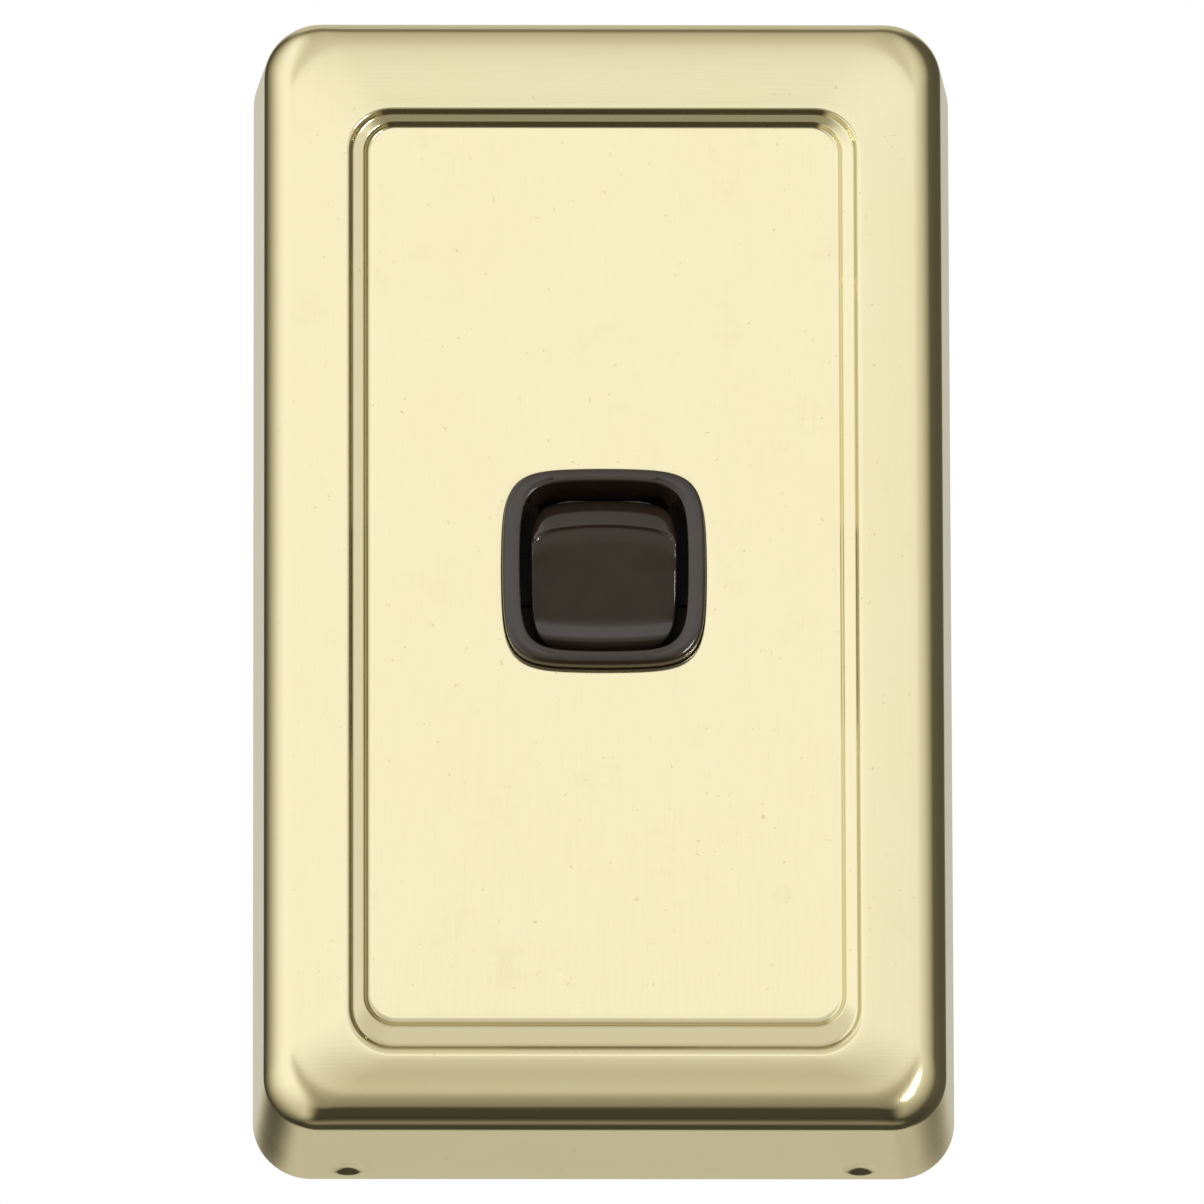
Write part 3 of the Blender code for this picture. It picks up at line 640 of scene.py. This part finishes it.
def angle_ramp(tree, degrees, levels):
    """A brightness that follows an angle in degrees through (angle, brightness) levels."""
    curve = tree.nodes.new("ShaderNodeFloatCurve")
    points = curve.mapping.curves[0].points
    for index, (angle, level) in enumerate(levels):
        place = (angle / 360.0 + 0.5, level / 1.6)
        if index in (0, 1):
            points[index].location = place
        else:
            points.new(*place)
    for point in points:
        point.handle_type = "VECTOR"
    curve.mapping.update()
    curve.inputs[0].default_value = 1.0
    tree.links.new((degrees / 360.0 + 0.5).link, curve.inputs[1])
    return Socket(tree, curve.outputs[0]) * 1.6


# Brightness round the upright circle through the front: 0 is straight ahead of the plate,
# positive angles look down and negative angles look up.
UPRIGHT = ((-180, 0.62), (-142, 0.60), (-108, 0.56), (-99, 0.20), (-89, 0.20), (-80, 0.50),
           (-64, 0.58), (-36, 0.70), (-29, 0.74), (-23, 0.82), (-19.5, 1.08), (-14.5, 1.08),
           (-11, 0.70), (-4, 0.54), (6, 0.42), (16, 0.34), (26, 0.30), (36, 0.26), (46, 0.06),
           (84, 0.05), (92, 0.12), (100, 0.26), (107, 0.20), (114, 0.06), (139, 0.055),
           (142, 0.40), (150, 0.58), (162, 0.58), (180, 0.60))

# Brightness round the horizon: negative angles are to the left of straight ahead.
LEVEL = ((-180, 0.66), (-171, 0.63), (-164, 0.40), (-154, 0.06), (-130, 0.08), (-110, 0.28),
         (-85, 0.64), (-64, 0.94), (-45, 1.08), (0, 1.08), (10, 0.92), (27, 0.82), (45, 0.65),
         (61, 0.42), (78, 0.115), (110, 0.09), (140, 0.09), (152, 0.16), (163, 0.55),
         (171, 0.77), (180, 0.77))


def make_world():
    """Soft studio surround whose brightness depends on direction, plain white to the camera."""
    world = bpy.data.worlds.new("studio")
    bpy.context.scene.world = world
    world.use_nodes = True
    tree = world.node_tree
    tree.nodes.clear()
    way = node(tree, "ShaderNodeTexCoord", output=0)
    x, y, z = (node(tree, "ShaderNodeSeparateXYZ", {}, {0: way}, output=axis) for axis in range(3))
    to_degrees = 180.0 / math.pi
    upright = angle_ramp(tree, (-z).math("ARCTAN2", -z, -y) * to_degrees, UPRIGHT)
    level = angle_ramp(tree, x.math("ARCTAN2", x, -y) * to_degrees, LEVEL)
    low = z.step(-0.75, -0.05, 0.62, 1.0)
    sideways = x.magnitude().step(0.22, 0.50)
    right_dim = x.step(0.02, 0.16, 1.0, 0.90)
    surround = upright * right_dim * (1.0 - sideways) + level * low * sideways
    tint = blend_colours(tree, surround.step(0.25, 1.05), (1.0, 0.945, 0.76, 1.0),
                         (1.0, 1.0, 1.0, 1.0))
    seen = node(tree, "ShaderNodeLightPath", output=0)
    lit = node(tree, "ShaderNodeBackground", {}, {"Color": tint, "Strength": surround})
    plain = node(tree, "ShaderNodeBackground", {}, {"Color": (1.0, 1.0, 1.0, 1.0)})
    shown = node(tree, "ShaderNodeMixShader", {}, {0: seen, 1: lit, 2: plain})
    output = tree.nodes.new("ShaderNodeOutputWorld")
    tree.links.new(shown.link, output.inputs["Surface"])


def direction(azimuth, elevation):
    """Unit vector to a point seen at these degrees to the right of and above straight ahead."""
    a, e = math.radians(azimuth), math.radians(elevation)
    return Vector((math.sin(a) * math.cos(e), -math.cos(a) * math.cos(e), math.sin(e)))


def make_lamp(name, azimuth, elevation, distance, size, power):
    """A softbox of some width and height that faces the part from a direction."""
    data = bpy.data.lights.new(name, "AREA")
    data.shape, data.energy = "RECTANGLE", power
    data.size, data.size_y = size
    lamp = bpy.data.objects.new(name, data)
    bpy.context.scene.collection.objects.link(lamp)
    place = direction(azimuth, elevation) * distance
    turn = place.to_track_quat("Z", "Y").to_matrix().to_4x4()
    lamp.matrix_world = Matrix.Translation(place) @ turn


FLOOR_RADIUS, FLOOR_GAP = 2.6, 0.0002


def make_floor():
    """Round floor just under the part, kept out of reflections and shadows."""
    bm = bmesh.new()
    bmesh.ops.create_circle(bm, cap_ends=True, segments=96, radius=FLOOR_RADIUS)
    under = Matrix.Translation((0, 0, -HALF_Z * MM - FLOOR_GAP))
    bmesh.ops.transform(bm, matrix=under, verts=bm.verts)
    mesh = bpy.data.meshes.new("floor")
    bm.to_mesh(mesh)
    bm.free()
    mesh.materials.append(pale_floor())
    floor = bpy.data.objects.new("floor", mesh)
    bpy.context.scene.collection.objects.link(floor)
    floor.visible_glossy = False
    floor.visible_shadow = False


CAMERA_LENS, CAMERA_SENSOR = 850.0, 36.0
CAMERA_AZIMUTH, CAMERA_ELEVATION, CAMERA_ROLL = -0.7, -16.5, -0.15
CAMERA_AIM = Vector((-0.00012, -0.0085, -0.00135))
CAMERA_DISTANCE, CAMERA_REACH = 2.842, 20.0


def make_camera():
    """Long lens from a little below and a touch to the left."""
    data = bpy.data.cameras.new("camera")
    data.lens, data.sensor_width = CAMERA_LENS, CAMERA_SENSOR
    data.clip_end = CAMERA_REACH
    camera = bpy.data.objects.new("camera", data)
    bpy.context.scene.collection.objects.link(camera)
    back = direction(CAMERA_AZIMUTH, CAMERA_ELEVATION)
    turn = back.to_track_quat("Z", "Y").to_matrix().to_4x4()
    camera.matrix_world = (Matrix.Translation(CAMERA_AIM + back * CAMERA_DISTANCE) @ turn
                           @ Matrix.Rotation(math.radians(CAMERA_ROLL), 4, "Z"))
    bpy.context.scene.camera = camera


# ---------------------------------------------------------------- assembly

def paint(material, *names):
    """Give CAD nodes a better material."""
    for name in names:
        mesh = frame["nodes"][name].data
        mesh.materials.clear()
        mesh.materials.append(material)


def main():
    scene = bpy.context.scene
    scene.view_settings.view_transform = "Standard"
    brass = polished_brass()
    gloss = gloss_moulding()
    make_cover(brass)
    # Near-black, duller copy of the moulding for the ears and the strip beside the rocker: painted
    # shade for the unlit gap there.
    gap_shade = satin_moulding("gap_painted_shade", (0.006, 0.004, 0.003, 1), (0.010, 0.007, 0.005, 1),
                          gloss=0.60)
    make_collar(gloss, gap_shade)
    make_rocker(gloss)

    base = satin_moulding("base_moulding", (0.030, 0.023, 0.018, 1), (0.050, 0.039, 0.031, 1))
    case = satin_moulding("case_moulding", (0.060, 0.054, 0.048, 1), (0.095, 0.086, 0.076, 1),
                          gloss=0.38)
    nylon = satin_moulding("plunger_plastic", (0.62, 0.60, 0.53, 1), (0.72, 0.70, 0.64, 1))
    cut_brass = worked_metal("terminal_brass", (0.80, 0.62, 0.30, 1), (0.55, 0.38, 0.17, 1),
                             0.32, (300.0, 3000.0, 300.0))
    zinc = worked_metal("zinc_steel", (0.70, 0.71, 0.71, 1), (0.50, 0.50, 0.49, 1), 0.30,
                        (900.0, 2400.0, 900.0))
    copper = worked_metal("contact_copper", (0.86, 0.50, 0.32, 1), (0.55, 0.28, 0.18, 1), 0.34,
                          (2600.0, 300.0, 300.0))
    silver = worked_metal("contact_silver", (0.90, 0.89, 0.86, 1), (0.62, 0.60, 0.56, 1), 0.28,
                          (1500.0, 1500.0, 1500.0))
    paint(base, "base_plate")
    paint(case, "mechanism_case", "mechanism_rear_cover")
    paint(nylon, "spring_plunger")
    paint(copper, "contact_bridge")
    paint(silver, "moving_contact_upper", "moving_contact_lower")
    screws = [name for name in frame["nodes"] if "screw" in name]
    terminals = [name for name in frame["nodes"]
                 if name.startswith("terminal_") and name not in screws]
    paint(cut_brass, "fixed_contact_upper", "fixed_contact_lower", "common_saddle", *terminals)
    paint(zinc, "rocker_axle", "toggle_spring", *screws)

    make_world()
    make_lamp("key_right", 29.0, -12.0, 1.5, (0.09, 0.60), 6.5)
    make_floor()
    make_camera()


main()
